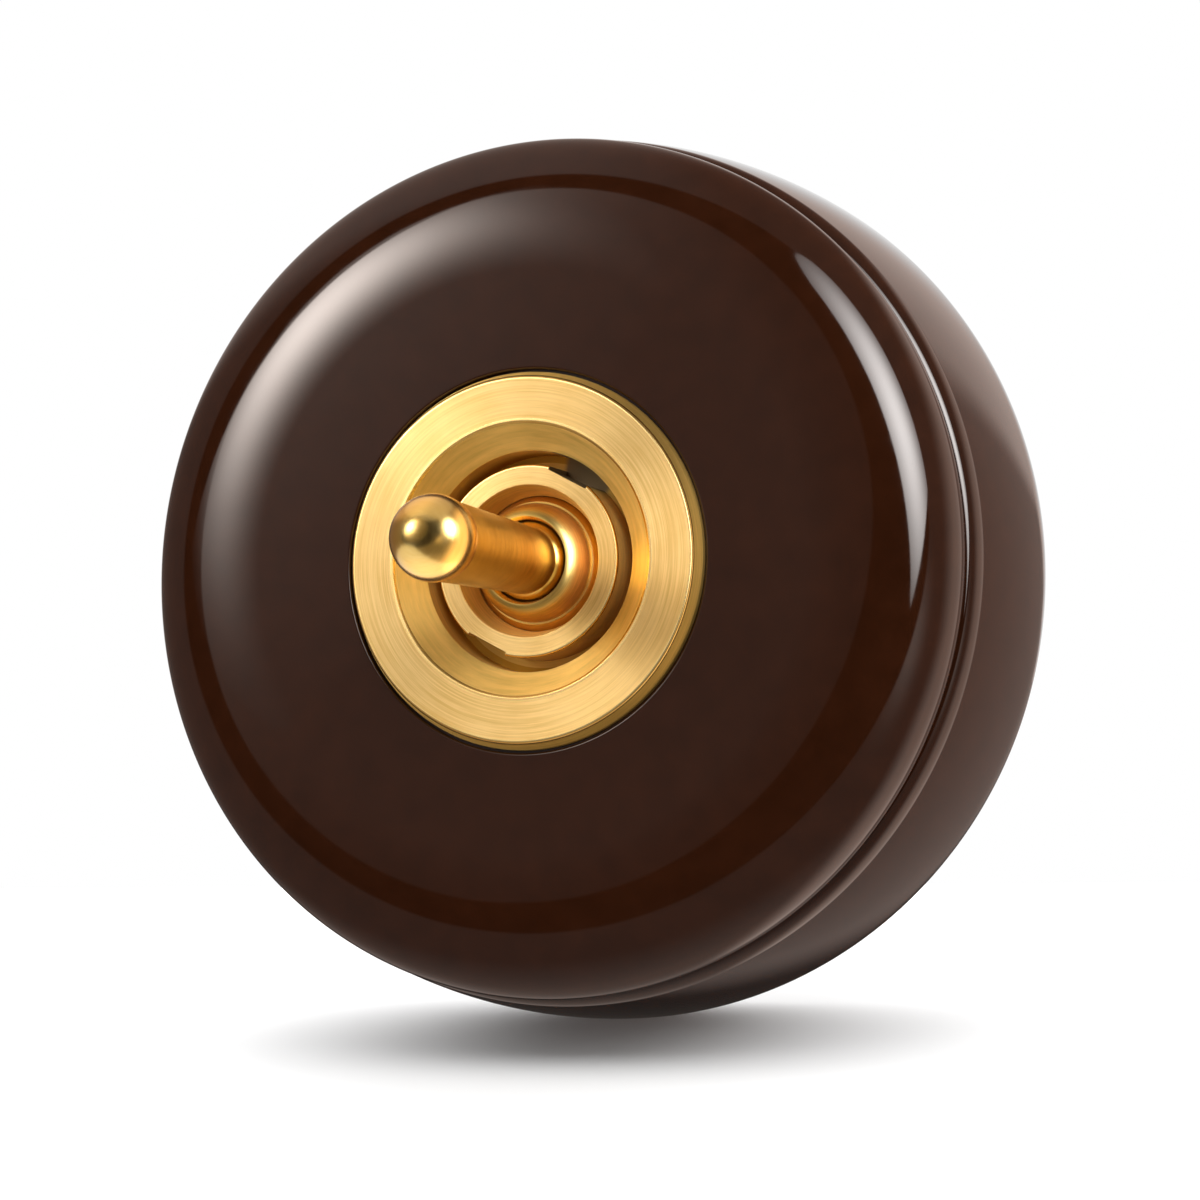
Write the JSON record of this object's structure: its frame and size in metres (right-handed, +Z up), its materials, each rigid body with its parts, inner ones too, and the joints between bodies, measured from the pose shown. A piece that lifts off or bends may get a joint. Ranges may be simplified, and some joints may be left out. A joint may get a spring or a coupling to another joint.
{
  "type": "dolly light switch",
  "caption": "Round surface-mounted light switch with a glossy brown moulded case and a brass lever in a turned brass dish; the lever tips up or down from a centre-off place.",
  "frame": {"origin": "centre of the base's flat back, where it meets the wall", "axes": "+Z up the wall, +Y into the wall, the lever points along -Y, +X to the right seen from the front"},
  "size_m": [0.081, 0.0545, 0.081],
  "materials": {
    "brown_moulding": "polished",
    "turned_brass": "turned, fine lines",
    "dolly_brass": "brushed, polished end",
    "strap_brass": "rolled",
    "steel": "zinc plated",
    "silver": "bright",
    "porcelain": "glazed",
    "fibre": "plain"
  },
  "bodies": {
    "case": {"base": "brown_moulding", "cover": "brown_moulding", "face_plate": "turned_brass", "ring_nut": "turned_brass", "bushing": "turned_brass", "pivot_pin": "steel", "bridge": "strap_brass", "bridge_screws": "steel", "mechanism_block": "porcelain", "block_screws": "steel", "rocker_pin": "steel", "common_terminal": "strap_brass", "upper_contact": "strap_brass", "lower_contact": "strap_brass", "fixed_tips": "silver", "earth_terminal": "strap_brass", "terminal_screws": "steel"},
    "dolly": {"dolly": "dolly_brass", "plunger": "fibre", "plunger_spring": "steel"},
    "rocker": {"rocker": "strap_brass", "rocker_tips": "silver"}
  },
  "joints": [
    {"name": "dolly_tilt", "type": "hinge", "parent": "case", "child": "dolly", "pos_m": [0, -0.0288, 0], "axis": [1, 0, 0], "range_deg": [-12, 12]},
    {"name": "rocker_tilt", "type": "hinge", "parent": "case", "child": "rocker", "pos_m": [0, -0.0175, 0], "axis": [1, 0, 0], "range_deg": [-7.6, 7.6]}
  ],
  "couplings": [
    {"joint": "rocker_tilt", "follows": "dolly_tilt", "ratio": -0.6}
  ]
}
